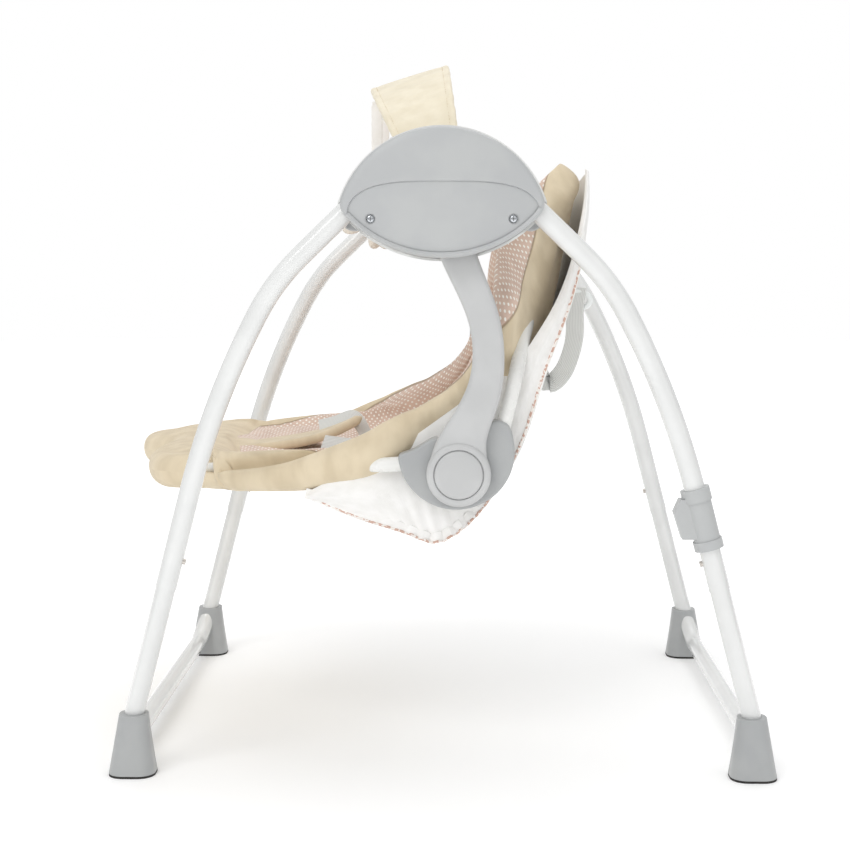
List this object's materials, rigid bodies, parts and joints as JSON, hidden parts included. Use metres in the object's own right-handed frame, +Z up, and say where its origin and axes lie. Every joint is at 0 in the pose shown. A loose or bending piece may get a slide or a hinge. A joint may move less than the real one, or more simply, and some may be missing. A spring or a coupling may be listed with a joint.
{
  "type": "baby swing",
  "caption": "Folding baby swing with A-frame tube legs, domed side housings, curved arms, a padded reclining seat and a toy bar.",
  "frame": {"origin": "middle of the floor area, on the floor", "axes": "+X towards the head end of the seat, +Y to the baby's right, +Z up"},
  "size_m": [0.7302, 0.5845, 0.7768],
  "materials": {
    "white_tube": "gloss white powder coat",
    "seat_frame": "gloss white powder coat",
    "grey_plastic": "satin moulded grey",
    "arm_plastic": "satin moulded light grey",
    "dark_grey_plastic": "satin moulded mid grey",
    "white_plastic": "gloss moulded white",
    "rubber": "black rubber",
    "steel": "zinc plated steel",
    "copper": "copper winding",
    "button_metal": "copper-coloured snap button",
    "bush_plastic": "acetal",
    "battery": "printed steel can",
    "circuit": "green circuit laminate",
    "magnet": "sintered magnet",
    "speaker_black": "black paper cone and basket",
    "panel_button": "soft white button",
    "beige_fabric": "beige woven cotton",
    "dotted_fabric": "dusty pink cotton with white dots",
    "white_fabric": "white woven lining",
    "grey_webbing": "light grey ribbed webbing",
    "buckle_plastic": "light grey moulded buckle",
    "toy_fabric": "cream plush"
  },
  "bodies": {
    "frame_housings": {"left_cover": "grey_plastic", "right_cover": "grey_plastic", "left_back_shell": "white_plastic", "right_back_shell": "white_plastic", "pivot_axles": "steel", "leg_pivot_pins": "steel", "cover_screws": "steel", "battery_door": "grey_plastic", "battery_tray": "bush_plastic", "battery_cells": "battery", "circuit_board": "circuit", "speaker": "speaker_black", "drive_coil": "copper"},
    "power_key": {"power_button": "panel_button"},
    "speed_key": {"speed_button": "panel_button"},
    "music_key": {"music_button": "panel_button"},
    "front_legs": {"front_left_upper_tube": "white_tube", "front_right_upper_tube": "white_tube", "front_base_tube": "white_tube", "front_left_foot": "dark_grey_plastic", "front_right_foot": "dark_grey_plastic", "front_foot_pads": "rubber"},
    "rear_legs": {"rear_left_upper_tube": "white_tube", "rear_right_upper_tube": "white_tube", "rear_base_tube": "white_tube", "rear_left_foot": "dark_grey_plastic", "rear_right_foot": "dark_grey_plastic", "rear_foot_pads": "rubber", "leg_clip": "grey_plastic"},
    "swing": {"left_arm": "arm_plastic", "right_arm": "arm_plastic", "arm_bushes": "bush_plastic", "hub_caps": "grey_plastic", "left_seat_bracket": "dark_grey_plastic", "right_seat_bracket": "dark_grey_plastic", "bracket_pins": "steel", "drive_magnet": "magnet", "seat_tube": "seat_frame", "seat_pad": "beige_fabric", "crotch_flap": "beige_fabric", "seat_sling": "white_fabric", "waist_straps": "grey_webbing", "crotch_strap": "grey_webbing", "harness_buckle": "buckle_plastic"},
    "backrest": {"back_tube": "seat_frame", "back_pad": "beige_fabric", "head_pillow": "dotted_fabric", "shoulder_straps": "grey_webbing", "strap_slide": "buckle_plastic", "strap_loop": "grey_webbing"},
    "toy_bar": {"toy_bar_sleeve": "beige_fabric", "toy_bar_strip": "white_plastic", "toy_bar_ends": "white_plastic"},
    "left_toy_body": {"left_toy": "toy_fabric"},
    "middle_toy_body": {"middle_toy": "toy_fabric"},
    "right_toy_body": {"right_toy": "toy_fabric"},
    "front_left_snap": {"front_left_snap_button": "button_metal"},
    "front_right_snap": {"front_right_snap_button": "button_metal"},
    "rear_left_snap": {"rear_left_snap_button": "button_metal"},
    "rear_right_snap": {"rear_right_snap_button": "button_metal"}
  },
  "joints": [
    {"name": "front_leg_fold", "type": "hinge", "parent": "frame_housings", "child": "front_legs", "pos_m": [-0.07634, 0, 0.61274], "axis": [0, -1, 0], "range_deg": [0, 24]},
    {"name": "rear_leg_fold", "type": "hinge", "parent": "frame_housings", "child": "rear_legs", "pos_m": [0.09434, 0, 0.61274], "axis": [0, 1, 0], "range_deg": [0, 24]},
    {"name": "swing_pivot", "type": "hinge", "parent": "frame_housings", "child": "swing", "pos_m": [0.009, 0, 0.61], "axis": [0, 1, 0], "range_deg": [-12, 12]},
    {"name": "backrest_recline", "type": "hinge", "parent": "swing", "child": "backrest", "pos_m": [0.071, 0, 0.361], "axis": [0, 1, 0], "range_deg": [0, 40]},
    {"name": "toy_bar_tilt", "type": "hinge", "parent": "frame_housings", "child": "toy_bar", "pos_m": [0.009, 0, 0.625], "axis": [0, 1, 0], "range_deg": [-35, 12]},
    {"name": "left_toy_sway", "type": "hinge", "parent": "toy_bar", "child": "left_toy_body", "pos_m": [-0.06492, -0.092, 0.72656], "axis": [0, 1, 0], "range_deg": [-15, 15]},
    {"name": "middle_toy_sway", "type": "hinge", "parent": "toy_bar", "child": "middle_toy_body", "pos_m": [-0.06895, 0, 0.73972], "axis": [0, 1, 0], "range_deg": [-15, 15]},
    {"name": "right_toy_sway", "type": "hinge", "parent": "toy_bar", "child": "right_toy_body", "pos_m": [-0.06492, 0.092, 0.72656], "axis": [0, 1, 0], "range_deg": [-15, 15]},
    {"name": "power_press", "type": "slide", "parent": "frame_housings", "child": "power_key", "axis": [0, -1, 0], "range_m": [0, 0.0012], "stiffness_N_per_m": 600},
    {"name": "speed_press", "type": "slide", "parent": "frame_housings", "child": "speed_key", "axis": [0, -1, 0], "range_m": [0, 0.0012], "stiffness_N_per_m": 600},
    {"name": "music_press", "type": "slide", "parent": "frame_housings", "child": "music_key", "axis": [0, -1, 0], "range_m": [0, 0.0012], "stiffness_N_per_m": 600},
    {"name": "front_left_snap_press", "type": "slide", "parent": "front_legs", "child": "front_left_snap", "axis": [-0.9668, 0, 0.2554], "range_m": [0, 0.003], "stiffness_N_per_m": 800},
    {"name": "front_right_snap_press", "type": "slide", "parent": "front_legs", "child": "front_right_snap", "axis": [-0.9668, 0, 0.2554], "range_m": [0, 0.003], "stiffness_N_per_m": 800},
    {"name": "rear_left_snap_press", "type": "slide", "parent": "rear_legs", "child": "rear_left_snap", "axis": [0.9668, 0, 0.2554], "range_m": [0, 0.003], "stiffness_N_per_m": 800},
    {"name": "rear_right_snap_press", "type": "slide", "parent": "rear_legs", "child": "rear_right_snap", "axis": [0.9668, 0, 0.2554], "range_m": [0, 0.003], "stiffness_N_per_m": 800}
  ]
}
